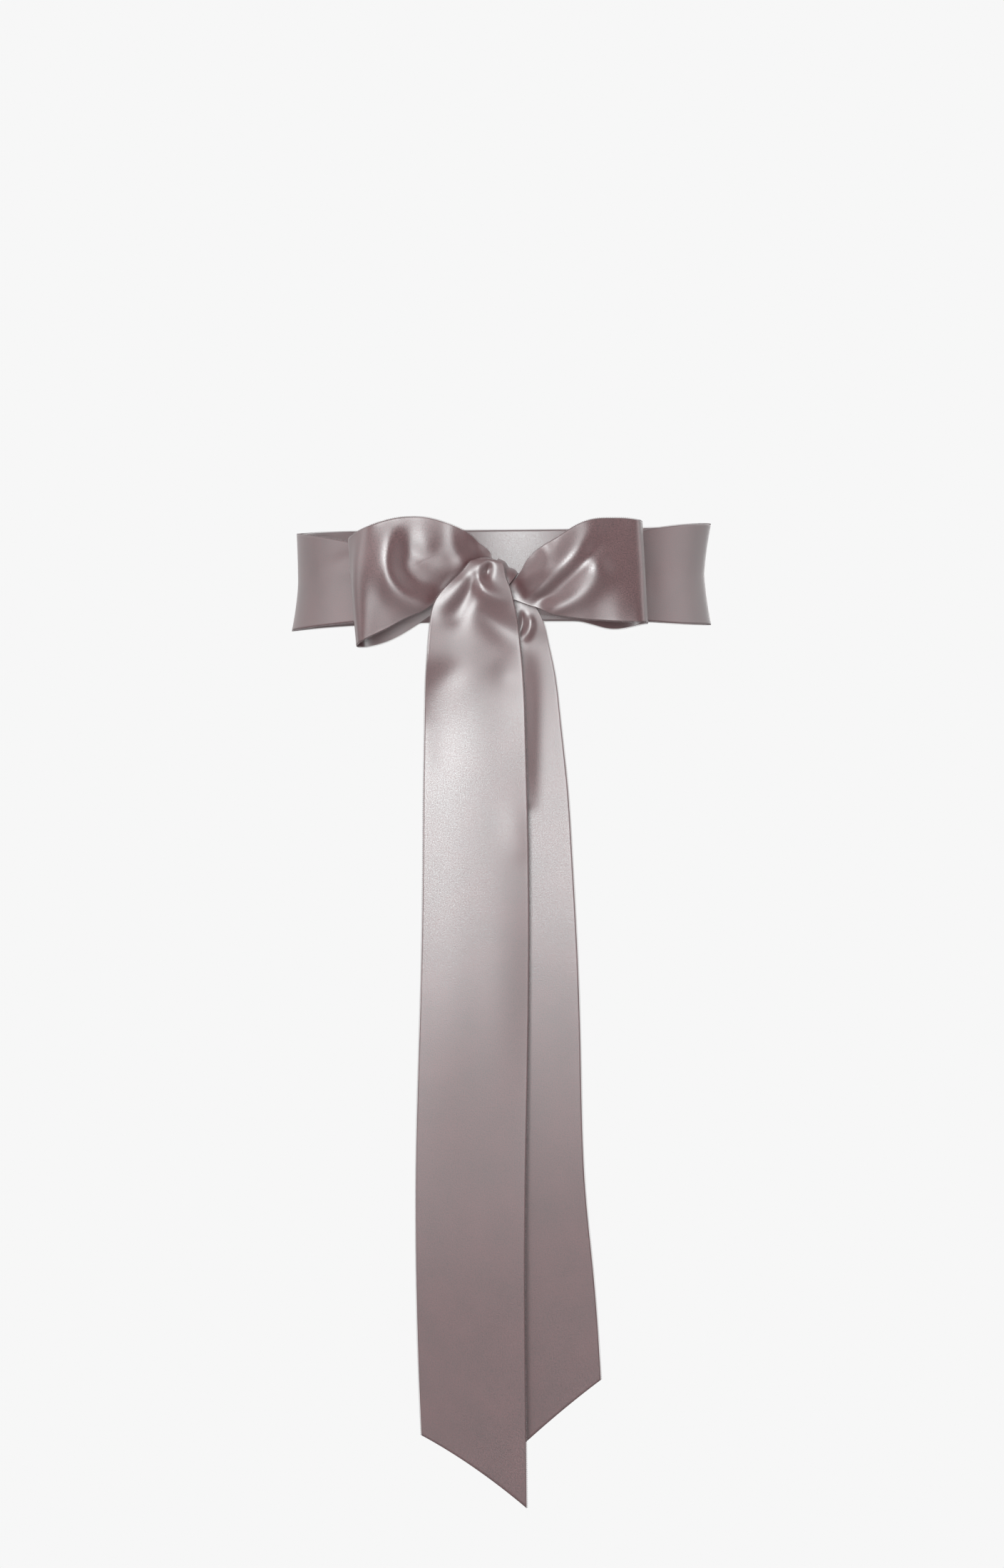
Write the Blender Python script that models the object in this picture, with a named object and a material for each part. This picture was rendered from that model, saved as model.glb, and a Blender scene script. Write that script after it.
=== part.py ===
import bpy
import numpy as np

# Sizes in millimetres. +Z is up, the bow faces -Y, and the origin is the middle of the waist hollow.
RIBBON_WIDTH = 57.0
CLOTH = 1.0
WAIST_HALF_WIDTH = 117.6
WAIST_HALF_DEPTH = 92.0
KNOT_CENTRE = (-2.5, -101.8, -6.0)
KNOT_SLANT = 38.0
KNOT_HALF_LENGTH = 6.5
KNOT_HALF_HEIGHT = 9.5
KNOT_HALF_DEPTH = 6.5
FOLD_BLEND = 3.0

# Colours of the satin, linear.
SATIN = (0.275, 0.215, 0.215, 1.0)
SATIN_SHADE = (0.215, 0.165, 0.168, 1.0)

# Waist band, a row for each section. Angle goes round from the bow by way of -X.
# angle, top Z, bottom Z, out, top flare, middle flare, bottom flare
BAND_SECTIONS = (
    (-3.0, -1.5, -13.5, 1.1, 0.0, 0.0, 0.0),
    (3.0, -3.0, -16.0, 1.1, 0.0, 0.0, 0.0),
    (10.0, -0.5, -20.0, 0.6, 0.2, 0.0, 0.4),
    (21.0, 6.0, -24.0, 0.0, 0.3, 0.0, 0.8),
    (42.0, 15.5, -27.0, 0.0, 0.6, 0.0, 1.6),
    (62.0, 21.5, -29.2, 0.0, 0.8, 0.2, 2.4),
    (90.0, 25.5, -30.0, 0.0, 0.8, 0.0, 3.6),
    (125.0, 31.0, -26.3, 0.0, 1.4, 0.0, 2.8),
    (180.0, 35.0, -22.0, 0.0, 1.4, 0.0, 2.4),
    (235.0, 33.6, -23.6, 0.0, 1.6, 0.0, 2.6),
    (270.0, 31.0, -26.2, 0.0, 3.0, -1.0, 3.0),
    (298.0, 28.0, -27.6, 0.0, 1.2, 0.0, 2.0),
    (318.0, 23.0, -26.7, 0.0, 0.8, 0.0, 1.2),
    (339.0, 11.0, -23.0, 0.0, 0.4, 0.0, 0.6),
    (350.0, 2.0, -20.0, -0.2, 0.2, 0.0, 0.3),
    (357.0, -3.0, -17.5, -0.9, 0.0, 0.0, 0.0),
    (363.0, -5.5, -18.0, -0.9, 0.0, 0.0, 0.0),
)

# Gathers of the band, a row each. v is 0 at the top edge and 1 at the bottom edge.
# start angle, start v, end angle, end v, depth, start width, end width
BAND_GATHERS = (
    (1.0, 0.28, 33.0, 0.22, 0.9, 3.5, 8.0),
    (1.0, 0.50, 46.0, 0.46, -1.0, 3.5, 11.0),
    (1.0, 0.72, 37.0, 0.80, 0.9, 3.5, 8.0),
    (36.0, 0.05, 60.0, 0.42, -0.8, 5.0, 7.0),
    (330.0, 0.30, 359.0, 0.28, 0.9, 8.0, 3.5),
    (317.0, 0.58, 359.0, 0.50, -1.0, 10.0, 3.5),
    (329.0, 0.78, 359.0, 0.72, 0.9, 8.0, 3.5),
)

# Left loop, from the knot along the front layer to the turn, and back behind it.
# top X, top Y, top Z, bottom X, bottom Y, bottom Z, puff at a quarter, a half and three quarters of the width
LEFT_SECTIONS = (
    (-2.4, -104.4, -0.7, -7.6, -104.4, -7.3, 0.0, 0.0, 0.0),
    (-5.0, -104.7, 2.8, -11.4, -104.7, -5.4, 0.2, 0.2, 0.2),
    (-6.2, -105.6, 8.0, -18.2, -105.8, -1.8, 0.3, 0.3, 0.2),
    (-11.0, -108.4, 12.7, -26.5, -107.2, -7.0, 0.7, 0.6, 0.6),
    (-17.5, -111.8, 18.0, -34.8, -108.3, -15.5, 0.2, 0.6, 0.2),
    (-26.0, -114.3, 22.0, -43.0, -109.1, -21.8, 1.1, 1.9, 1.4),
    (-37.0, -116.5, 25.4, -51.5, -109.3, -26.6, 2.3, 3.1, 2.2),
    (-48.0, -117.7, 26.2, -59.5, -109.2, -31.2, 3.2, 4.1, 2.7),
    (-59.0, -117.6, 24.6, -67.0, -108.7, -34.8, 3.6, 4.5, 3.0),
    (-70.0, -116.8, 21.2, -73.6, -107.7, -38.0, 3.9, 4.4, 2.6),
    (-79.4, -103.4, 17.4, -76.6, -100.4, -39.8, 0.8, 1.0, 0.6),
    (-82.0, -93.2, 15.7, -77.4, -94.0, -40.6, 0.2, 0.2, 0.2),
    (-80.4, -85.6, 14.8, -75.0, -88.8, -41.2, 0.2, 0.2, 0.2),
    (-70.0, -85.8, 14.2, -66.5, -89.4, -39.8, 0.0, 0.0, 0.0),
    (-50.0, -90.6, 10.4, -52.0, -93.0, -33.6, -0.4, -0.6, -0.4),
    (-26.0, -96.8, 5.4, -34.0, -97.2, -21.6, -0.4, -0.6, -0.4),
    (-11.4, -99.6, 3.2, -18.0, -99.6, -9.0, -0.2, -0.2, -0.2),
    (-5.4, -100.5, 2.2, -11.0, -100.5, -4.8, 0.0, 0.0, 0.0),
    (-2.6, -100.8, -0.9, -7.4, -100.8, -7.1, 0.0, 0.0, 0.0),
)

# Folds of the front layer, each along a curve through three points.
# start X, start Z, middle X, middle Z, end X, end Z, start depth, middle depth, end depth, start width, end width
LEFT_FOLDS = (
    (-53.1, 24.1, -58.5, -3.7, -35.4, -18.7, 2.5, 5.0, 3.2, 7.2, 8.7),
    (-47.0, 15.0, -51.5, -2.0, -36.0, -9.0, 0.2, -3.4, -2.0, 6.4, 6.6),
    (-52.8, 25.1, -43.7, 5.5, -21.6, -0.1, -1.7, -1.9, 0.5, 7.7, 4.4),
    (-25.5, 24.6, -24.3, 9.6, -17.2, 2.5, 0.3, 1.3, 1.6, 4.1, 4.4),
    (-19.8, 20.9, -17.1, 14.1, -12.9, 6.2, 0.1, 0.9, -0.2, 4.1, 4.4),
    (-34.1, 10.2, -30.7, 2.4, -21.6, 0.7, -0.8, 0.4, 1.0, 4.5, 4.4),
    (-16.6, 18.4, -14.2, 13.1, -11.0, 8.8, -0.5, -1.9, -0.9, 3.6, 4.4),
)

LEFT_BACK_FOLDS = (
    (-12.0, -2.0, -40.0, -8.0, -62.0, -14.0, -0.6, -1.6, 0.0, 2.5, 7.0),
)

# Right loop, in the same order and with the same columns.
RIGHT_SECTIONS = (
    (2.7, -104.4, -4.5, -2.7, -104.4, -11.5, 0.0, 0.0, 0.0),
    (6.4, -104.8, -6.2, 0.4, -104.8, -14.4, 0.2, 0.2, 0.2),
    (9.6, -106.2, -3.8, 6.8, -104.9, -16.6, 0.2, 0.2, -0.3),
    (12.6, -109.2, 3.0, 14.8, -105.7, -19.6, 0.4, 1.4, 0.6),
    (19.0, -111.4, 9.6, 23.6, -106.6, -22.6, 1.6, 2.6, 2.5),
    (29.0, -112.0, 15.8, 33.4, -107.1, -25.2, 2.8, 3.7, 3.1),
    (38.5, -111.9, 21.4, 42.5, -107.2, -26.6, 3.4, 4.5, 3.5),
    (48.5, -110.5, 25.0, 50.5, -106.8, -27.2, 3.3, 4.5, 3.5),
    (58.6, -108.7, 26.2, 60.0, -107.3, -27.8, 2.5, 3.4, 2.7),
    (66.4, -106.8, 26.2, 68.6, -106.4, -28.0, 1.6, 2.3, 1.7),
    (71.6, -104.6, 25.6, 74.4, -104.6, -28.0, 0.8, 1.2, 0.7),
    (74.0, -97.4, 25.4, 76.8, -98.0, -28.2, 0.1, 0.2, 0.1),
    (74.4, -88.8, 25.2, 77.4, -90.0, -28.4, 0.0, 0.0, 0.0),
    (71.4, -85.0, 24.6, 74.4, -87.0, -29.0, 0.0, 0.0, 0.0),
    (63.5, -84.8, 22.6, 64.0, -87.4, -31.2, 0.0, 0.0, 0.0),
    (46.0, -89.8, 16.4, 49.0, -92.4, -29.4, -0.4, -0.6, -0.4),
    (26.0, -95.4, 6.0, 28.0, -96.8, -25.0, -0.4, -0.6, -0.4),
    (12.6, -98.6, -5.6, 12.4, -99.0, -22.8, 0.0, 0.0, 0.0),
    (8.4, -99.8, -8.2, 6.0, -99.8, -20.4, 0.0, 0.0, 0.0),
    (5.4, -100.5, -7.6, 0.4, -100.5, -14.2, 0.0, 0.0, 0.0),
    (2.4, -100.8, -4.9, -2.4, -100.8, -11.1, 0.0, 0.0, 0.0),
)

RIGHT_FOLDS = (
    (6.3, -6.5, 33.7, 5.1, 45.8, 21.8, 0.8, 4.1, 3.5, 3.6, 9.9),
    (18.1, -16.8, 38.9, -0.6, 49.7, 12.2, -1.3, -3.7, -0.7, 3.6, 4.7),
    (14.7, -15.6, 31.8, -3.7, 45.6, 4.0, 1.4, 3.9, 3.1, 3.6, 7.2),
    (16.1, -16.9, 34.4, -13.7, 44.0, -4.3, -1.5, -2.3, -0.8, 3.6, 5.5),
    (25.0, -22.1, 38.4, -14.1, 51.6, -1.2, 1.4, 3.1, 3.5, 3.6, 8.0),
    (18.9, -4.6, 23.6, 5.7, 21.4, 13.2, -0.4, 0.9, 0.9, 3.6, 4.4),
)

RIGHT_BACK_FOLDS = (
    (8.0, -16.0, 30.0, -14.0, 55.0, -16.0, -0.6, -1.6, 0.0, 2.5, 7.0),
)

# Front tail, from the top of the knot down to its slanting cut. Left edge first.
TAIL_FRONT_SECTIONS = (
    (-13.8, -109.3, 2.4, -4.6, -108.9, 3.1, 0.0, 0.0, 0.0),
    (-15.2, -111.6, 3.8, -1.4, -110.4, 3.6, 1.1, 1.5, 0.9),
    (-20.0, -112.8, -1.0, 1.5, -111.0, -3.0, 1.1, 1.5, 1.2),
    (-26.5, -114.3, -7.5, 4.0, -111.0, -10.0, 0.8, 1.4, 1.1),
    (-34.4, -115.6, -16.5, 6.0, -110.8, -17.5, 0.4, 0.9, 0.8),
    (-37.2, -116.6, -26.0, 8.0, -109.9, -26.0, -0.1, 0.1, -0.1),
    (-38.4, -118.6, -38.0, 9.8, -109.5, -38.0, -0.7, -0.5, -0.4),
    (-39.8, -116.0, -58.0, 11.4, -109.5, -58.0, 0.1, 0.2, -0.1),
    (-40.6, -111.8, -80.0, 12.2, -109.6, -80.0, 1.0, 1.4, 0.6),
    (-41.0, -111.4, -104.0, 12.8, -109.7, -104.0, 1.5, 1.8, 1.0),
    (-41.4, -112.6, -160.0, 14.0, -109.9, -160.0, 1.5, 1.8, 1.3),
    (-42.6, -113.0, -225.0, 14.0, -109.8, -225.0, 1.6, 1.9, 1.6),
    (-45.0, -111.4, -310.0, 12.6, -109.9, -310.0, 0.5, 0.6, 0.5),
    (-45.0, -110.0, -370.0, 12.0, -108.8, -376.0, 0.2, 0.2, 0.2),
    (-44.0, -108.4, -416.0, 12.4, -107.2, -432.0, 0.0, 0.0, 0.0),
    (-42.4, -107.0, -457.0, 13.0, -105.6, -496.0, 0.0, 0.0, 0.0),
)

TAIL_FRONT_FOLDS = (
    (-10.6, 3.0, -11.6, -9.4, 0.6, -16.8, 0.8, 2.4, 0.6, 2.4, 4.6),
    (-5.2, 3.0, -7.3, -1.8, -9.0, -6.0, -0.9, -2.6, -0.8, 2.0, 2.8),
    (-14.0, 1.0, -20.4, -8.6, -32.0, -20.0, 1.0, 1.8, 1.2, 2.6, 6.0),
    (-12.8, -1.0, -17.6, -12.5, -25.0, -26.0, -0.4, -2.6, -1.8, 2.6, 6.0),
    (-10.0, -23.0, -1.0, -31.5, 11.0, -38.5, -1.4, -2.9, -2.7, 5.0, 7.0),
    (-4.0, -46.0, 4.0, -52.0, 14.0, -55.0, -0.6, -1.6, -1.8, 14.0, 14.0),
    (-26.0, -54.0, -34.0, -62.0, -41.0, -74.0, -0.7, -1.2, -0.5, 7.0, 12.0),
    (-40.0, -76.0, -42.0, -92.0, -41.0, -112.0, -0.5, -1.2, -0.2, 9.0, 9.0),
    (-0.5, -57.0, 0.5, -57.2, 1.5, -57.4, -0.45, -0.45, -0.45, 5.5, 5.5),
    (5.4, -128.7, 7.0, -137.2, 9.3, -148.1, 0.2, 0.5, 0.4, 7.1, 7.4),
)

# Rear tail, from under the knot down to its slanting cut. Left edge first.
TAIL_REAR_SECTIONS = (
    (3.6, -101.9, -14.0, 10.4, -101.9, -13.4, 0.1, 0.2, 0.1),
    (4.4, -102.0, -18.8, 15.8, -101.8, -18.0, 0.4, 0.6, 0.4),
    (1.0, -102.3, -27.0, 21.4, -101.6, -27.0, 0.6, 0.9, 0.6),
    (-4.0, -103.0, -38.0, 24.4, -100.2, -38.0, 0.4, 0.5, 0.2),
    (-9.6, -104.8, -54.0, 27.8, -99.6, -54.0, 0.4, 0.4, 0.0),
    (-16.5, -105.8, -80.0, 31.0, -100.8, -80.0, 0.3, 0.3, 0.0),
    (-21.0, -105.8, -114.0, 34.6, -102.8, -114.0, 0.2, 0.2, 0.1),
    (-20.0, -105.9, -151.0, 37.0, -104.4, -151.0, 0.0, 0.0, 0.0),
    (-17.5, -105.9, -197.0, 39.5, -105.5, -197.0, 0.0, 0.0, 0.0),
    (-15.0, -105.3, -257.0, 41.5, -104.9, -257.0, 0.0, 0.0, 0.0),
    (-13.0, -103.7, -330.0, 43.8, -103.4, -326.0, 0.0, 0.0, 0.0),
    (-9.0, -102.1, -386.0, 48.2, -102.1, -372.0, 0.0, 0.0, 0.0),
    (-5.0, -99.5, -480.0, 52.4, -100.5, -430.0, 0.0, 0.0, 0.0),
)

TAIL_REAR_FOLDS = (
    (14.0, -24.0, 15.0, -31.0, 11.0, -38.0, 0.6, 1.8, 0.6, 1.8, 2.4),
    (10.0, -22.0, 11.0, -29.0, 8.0, -36.0, -0.6, -2.0, -0.6, 1.8, 2.4),
    (10.5, -48.0, 10.8, -80.0, 13.0, -124.0, 1.4, 4.2, 0.8, 6.6, 4.6),
)

# Turns round the knot, a row for each fold of its wrap.
# share of its length, depth, width, turn by which it slants
KNOT_FOLDS = (
    (0.14, 0.7, 2.0, 0.06),
    (0.40, 0.9, 2.2, -0.05),
    (0.66, 0.8, 2.0, 0.07),
    (0.90, 0.6, 1.8, -0.04),
)

STEPS = {
    "band": (74, 6),
    "left loop": (66, 17),
    "right loop": (66, 17),
    "front tail": (46, 16),
    "rear tail": (32, 10),
    "knot": (26, 8),
}
# Run of each loop's front layer, and how far the cuts of the tails bow up at their middle.
LEFT_FRONT_RUN = 92.0
RIGHT_FRONT_RUN = 90.0
FRONT_CUT_BOW = 2.1
REAR_CUT_BOW = 1.6


def through(stations, values, at):
    """Smooth curve through the rows: a cubic between each two, with one slope and one bend at each row."""
    gap = np.diff(stations)
    inner = np.arange(1, len(stations) - 1)
    system = np.eye(len(stations))
    system[inner, inner - 1] = gap[:-1]
    system[inner, inner] = 2 * (gap[:-1] + gap[1:])
    system[inner, inner + 1] = gap[1:]
    turn = np.zeros(values.shape)
    turn[1:-1] = 6 * np.diff(np.diff(values, axis=0) / gap[:, None], axis=0)
    bend = np.linalg.solve(system, turn)
    low = np.clip(np.searchsorted(stations, at, side="right") - 1, 0, len(stations) - 2)
    span = gap[low][:, None]
    before, after = (stations[low + 1] - at)[:, None], (at - stations[low])[:, None]
    curve = (bend[low] * before**3 + bend[low + 1] * after**3) / (6 * span)
    curve += (values[low] / span - bend[low] * span / 6) * before
    return curve + (values[low + 1] / span - bend[low + 1] * span / 6) * after


def normals_of(grid, ring=False):
    """Unit normals of a grid of points, from the differences along and across it."""
    if ring:
        along = np.roll(grid, -1, axis=0) - np.roll(grid, 1, axis=0)
    else:
        along = np.gradient(grid, axis=0)
    across = np.gradient(grid, axis=1)
    normal = np.cross(across, along)
    return normal / np.linalg.norm(normal, axis=2, keepdims=True)


def soft(share):
    """Soft step from 0 to 1."""
    share = np.clip(share, 0.0, 1.0)
    return share * share * (3 - 2 * share)


def fold_height(x, z, folds):
    """Height of soft ridges and troughs that run along curves on the face of the bow."""
    height = np.zeros(x.shape)
    share = np.linspace(0.0, 1.0, 25)[:, None]
    for x0, z0, x1, z1, x2, z2, depth0, depth1, depth2, width0, width1 in folds:
        start, middle, end = np.array([x0, z0]), np.array([x1, z1]), np.array([x2, z2])
        pull = 2 * middle - (start + end) / 2
        path = (1 - share) ** 2 * start + 2 * share * (1 - share) * pull + share**2 * end
        leg = np.linalg.norm(np.diff(path, axis=0), axis=1)
        halfway = (path[:-1] + path[1:]) / 2
        off = (x[..., None] - halfway[:, 0]) ** 2 + (z[..., None] - halfway[:, 1]) ** 2
        least = off.min(axis=-1)
        near = leg * np.exp((least[..., None] - off) / FOLD_BLEND**2)
        total = near.sum(axis=-1)
        off = least - FOLD_BLEND**2 * np.log(total / (FOLD_BLEND * np.sqrt(np.pi)))
        place = (near * (share[:-1] + share[1:])[:, 0] / 2).sum(axis=-1) / total
        depth = depth0 * (1 - place) * (1 - 2 * place)
        depth += 4 * depth1 * place * (1 - place) + depth2 * place * (2 * place - 1)
        width = width0 + (width1 - width0) * place
        height += depth * np.exp(-off / width**2)
    return height


def spread(share, both_ends):
    """Steps along a stretch, closer together where it is gathered."""
    if both_ends:
        return share - 0.05 * np.sin(2 * np.pi * share)
    return 0.35 * share + 0.65 * share**2


def stretch(sections, folds, steps, side=-1, front_run=None, back_folds=(), cut_bow=0.0):
    """Sheet between two edges, whose sections are rows of a table, with its puff and its folds.
    Side is the sign that turns its normals away from the waist. A loop gives the run of its front layer."""
    table = np.array(sections)
    middle = (table[:, 0:3] + table[:, 3:6]) / 2
    stations = np.concatenate([[0.0], np.cumsum(np.linalg.norm(np.diff(middle, axis=0), axis=1))])
    along = stations[-1] * spread(np.linspace(0.0, 1.0, steps[0] + 1), front_run is not None)
    rows = through(stations, table, along)
    v = np.linspace(0.0, 1.0, steps[1] + 1)
    first, last = rows[:, None, 0:3], rows[:, None, 3:6]
    grid = first + (last - first) * v[None, :, None]
    edges = np.zeros((len(rows), 1))
    puff = np.concatenate([edges, rows[:, 6:9], edges], axis=1)
    puff = through(np.linspace(0.0, 1.0, 5), puff.T, v).T
    grid = grid + side * normals_of(grid) * puff[..., None]
    front = np.ones((len(rows), 1))
    if front_run is not None:
        front = 1 - soft((along - front_run) / 12.0)[:, None]
    x, z = grid[..., 0], grid[..., 2]
    height = fold_height(x, z, folds) * front + fold_height(x, z, back_folds) * (1 - front)
    grid = grid + side * normals_of(grid) * height[..., None]
    near_cut = soft((along - along[-1] + 40.0) / 40.0)[:, None]
    grid[..., 2] += cut_bow * near_cut * 4 * v * (1 - v)
    return grid


def waist_band(steps):
    """Band round an oval waist, drawn in at its middle and gathered behind the knot."""
    table = np.array(BAND_SECTIONS)
    angle = np.linspace(table[0, 0], table[-1, 0], steps[0] + 1)
    rows = through(table[:, 0], table[:, 1:], angle)
    v = np.linspace(0.0, 1.0, steps[1] + 1)
    turn = np.radians(angle)[:, None]
    low, high = np.clip(1 - v / 0.5, 0, 1), np.clip((v - 0.5) / 0.5, 0, 1)
    middle = 1 - low - high
    flare = rows[:, 3:4] * low**1.5 + rows[:, 4:5] * middle + rows[:, 5:6] * high**1.5
    out = rows[:, 2:3] + flare
    place = angle[:, None]
    for start, start_v, end, end_v, depth, start_width, end_width in BAND_GATHERS:
        share = np.clip((place - start) / (end - start), 0, 1)
        off = (v - start_v - (end_v - start_v) * share) * RIBBON_WIDTH
        width = start_width + (end_width - start_width) * share
        beyond = np.exp(-(((place - start - share * (end - start)) / 4) ** 2))
        out = out + depth * beyond * np.sin(np.pi * (0.1 + 0.8 * share)) * np.exp(-((off / width) ** 2))
    x = -(WAIST_HALF_WIDTH + out) * np.sin(turn)
    y = -(WAIST_HALF_DEPTH + out) * np.cos(turn)
    z = rows[:, 0:1] + (rows[:, 1:2] - rows[:, 0:1]) * v
    return np.stack([x, y, z], axis=-1)


def knot_wrap(steps):
    """Turn of ribbon round the necks of the loops: an oval tube on a slanting axis, with folds round it."""
    turn = np.linspace(0.0, 2 * np.pi, steps[0], endpoint=False)[:, None]
    share = np.linspace(0.0, 1.0, steps[1] + 1)[None, :]
    height = np.zeros((steps[0], steps[1] + 1))
    for place, depth, width, slant in KNOT_FOLDS:
        off = (share - place - slant * np.cos(turn)) * 2 * KNOT_HALF_LENGTH
        height += depth * np.exp(-((off / width) ** 2))
    narrow = 1 + 0.06 * (2 * share - 1) ** 2
    up = (KNOT_HALF_HEIGHT - 0.6) * narrow * np.cos(turn) + height * np.cos(turn)
    deep = (KNOT_HALF_DEPTH - 0.6) * narrow * np.sin(turn) + height * np.sin(turn)
    run = (2 * share - 1) * KNOT_HALF_LENGTH + 0 * turn
    slope = np.radians(KNOT_SLANT)
    axis = np.array([np.cos(slope), 0.0, -np.sin(slope)])
    upward = np.array([np.sin(slope), 0.0, np.cos(slope)])
    depthward = np.array([0.0, -1.0, 0.0])
    grid = run[..., None] * axis + up[..., None] * upward + deep[..., None] * depthward
    return grid + np.array(KNOT_CENTRE)


def wall(grid, thickness, ring=False):
    """Closed wall on both sides of a sheet: points and faces that face outwards."""
    count, wide = grid.shape[:2]
    normal = normals_of(grid, ring)
    points = np.concatenate([grid + normal * thickness / 2, grid - normal * thickness / 2])
    points = points.reshape(-1, 3)
    back = count * wide
    faces = []
    turns = count if ring else count - 1
    for i in range(turns):
        j = (i + 1) % count
        for k in range(wide - 1):
            a, b, c, d = i * wide + k, j * wide + k, j * wide + k + 1, i * wide + k + 1
            faces.append((a, d, c, b))
            faces.append((a + back, b + back, c + back, d + back))
        a, b = i * wide, j * wide
        faces.append((a, b, b + back, a + back))
        a, b = a + wide - 1, b + wide - 1
        faces.append((a, a + back, b + back, b))
    if not ring:
        for k in range(wide - 1):
            a, b = k, k + 1
            faces.append((a, a + back, b + back, b))
            a, b = a + (count - 1) * wide, b + (count - 1) * wide
            faces.append((a, b, b + back, a + back))
    return points, faces


def satin(name, colour):
    """Soft sheen of double-face satin."""
    material = bpy.data.materials.new(name)
    material.use_nodes = True
    shader = material.node_tree.nodes["Principled BSDF"]
    shader.inputs["Base Color"].default_value = colour
    shader.inputs["Roughness"].default_value = 0.38
    shader.inputs["Sheen Weight"].default_value = 0.2
    material.diffuse_color = colour
    return material


def add(name, sheet, colour, ring=False):
    """One stretch of the ribbon as a closed, smooth-shaded solid in metres."""
    points, faces = wall(sheet, CLOTH, ring)
    mesh = bpy.data.meshes.new(name)
    mesh.from_pydata((points / 1000).tolist(), [], faces)
    mesh.validate()
    mesh.shade_smooth()
    mesh.materials.append(satin(name + "_satin", colour))
    solid = bpy.data.objects.new(name, mesh)
    bpy.context.scene.collection.objects.link(solid)
    return solid


for old in list(bpy.data.objects):
    bpy.data.objects.remove(old, do_unlink=True)

left_loop = stretch(LEFT_SECTIONS, LEFT_FOLDS, STEPS["left loop"], -1, LEFT_FRONT_RUN, LEFT_BACK_FOLDS)
right_loop = stretch(RIGHT_SECTIONS, RIGHT_FOLDS, STEPS["right loop"], 1, RIGHT_FRONT_RUN, RIGHT_BACK_FOLDS)
front_tail = stretch(TAIL_FRONT_SECTIONS, TAIL_FRONT_FOLDS, STEPS["front tail"], cut_bow=FRONT_CUT_BOW)
rear_tail = stretch(TAIL_REAR_SECTIONS, TAIL_REAR_FOLDS, STEPS["rear tail"], cut_bow=REAR_CUT_BOW)
add("sash_waist_band", waist_band(STEPS["band"]), SATIN)
add("sash_loop_left", left_loop, SATIN)
add("sash_loop_right", right_loop, SATIN)
add("sash_knot", knot_wrap(STEPS["knot"]), SATIN_SHADE, ring=True)
add("sash_tail_front", front_tail, SATIN)
add("sash_tail_rear", rear_tail, SATIN_SHADE)
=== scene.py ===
import math

import bpy
import numpy as np
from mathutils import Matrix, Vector


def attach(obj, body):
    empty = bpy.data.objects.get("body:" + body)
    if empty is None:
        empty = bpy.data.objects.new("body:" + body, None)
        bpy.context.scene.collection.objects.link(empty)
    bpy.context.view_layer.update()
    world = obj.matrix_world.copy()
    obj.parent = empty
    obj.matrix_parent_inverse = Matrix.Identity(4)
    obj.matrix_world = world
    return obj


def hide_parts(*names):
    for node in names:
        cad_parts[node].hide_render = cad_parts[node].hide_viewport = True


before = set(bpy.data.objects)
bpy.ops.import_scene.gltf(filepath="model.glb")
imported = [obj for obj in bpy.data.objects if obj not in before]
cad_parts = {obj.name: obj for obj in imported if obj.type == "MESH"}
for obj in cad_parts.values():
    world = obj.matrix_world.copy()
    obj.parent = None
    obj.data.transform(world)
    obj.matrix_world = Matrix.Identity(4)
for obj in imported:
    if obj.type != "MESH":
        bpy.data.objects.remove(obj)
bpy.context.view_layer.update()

print("frame loaded")

# Lengths in the tables are millimetres, but cuts, lights and the camera are in metres. The bow faces -Y and
# the origin is the middle of the waist.
ribbon = {
    "width": 57.0,
    "cloth": 0.34,          # real thickness of double-face satin
    "edgeCord": 0.10,       # how much thicker the woven selvedge is
    "cordReach": 0.9,       # how far in from the edge the selvedge fades
    "loopPitch": 1.05,      # one selvedge loop every so much
    "loopReach": 0.55,      # how far a loop stands out from the edge
    "loopHalf": 0.24,       # half a loop's width, as a share of the pitch
    "loopSunk": 0.06,       # how far inside the edge a half ring is centred
    "loopFoot": 0.12,       # share of the half turn left out at each foot
    "loopRings": 5,         # rings of points along a loop
    "loopThread": 0.13,     # radius of the thread
    "creaseLegs": 24,       # straight legs that a crease's curve is cut into
    "bendSoft": 3.0,        # reach over which a bend in a crease is smoothed
    "loopCrowd": 0.05,      # how much closer the rows stand at a loop's gathered ends
    "tailCrowd": 0.55,      # the same for a tail, which is gathered at its top only
    "turnFade": 12.0,       # run over which the front creases end at a loop's turn
    "cutFade": 40.0,        # run over which a tail takes the bow of its cut
    "backPlace": 200.0,     # where the back face starts across the UV map
}


# A smooth line through table rows: a cubic between each two rows, with the same slope and the same bend
# on both sides of a row, and no bend at the first and last.
def throughRows(stations, values, at):
    gap = np.diff(stations)
    inner = np.arange(1, len(stations) - 1)
    system = np.eye(len(stations))
    system[inner, inner - 1] = gap[:-1]
    system[inner, inner] = 2 * (gap[:-1] + gap[1:])
    system[inner, inner + 1] = gap[1:]
    turn = np.zeros(values.shape)
    turn[1:-1] = 6 * np.diff(np.diff(values, axis=0) / gap[:, None], axis=0)
    bend = np.linalg.solve(system, turn)
    low = np.clip(np.searchsorted(stations, at, side="right") - 1, 0, len(stations) - 2)
    span = gap[low][:, None]
    before, after = (stations[low + 1] - at)[:, None], (at - stations[low])[:, None]
    return ((bend[low] * before**3 + bend[low + 1] * after**3) / (6 * span)
            + (values[low] / span - bend[low] * span / 6) * before
            + (values[low + 1] / span - bend[low + 1] * span / 6) * after)


# Unit normals of a grid: across the ribbon crossed with along it.
def gridNormals(grid, ring=False):
    if ring:
        along = np.roll(grid, -1, axis=0) - np.roll(grid, 1, axis=0)
    else:
        along = np.gradient(grid, axis=0)
    normal = np.cross(np.gradient(grid, axis=1), along)
    return normal / np.linalg.norm(normal, axis=2, keepdims=True)


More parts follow.
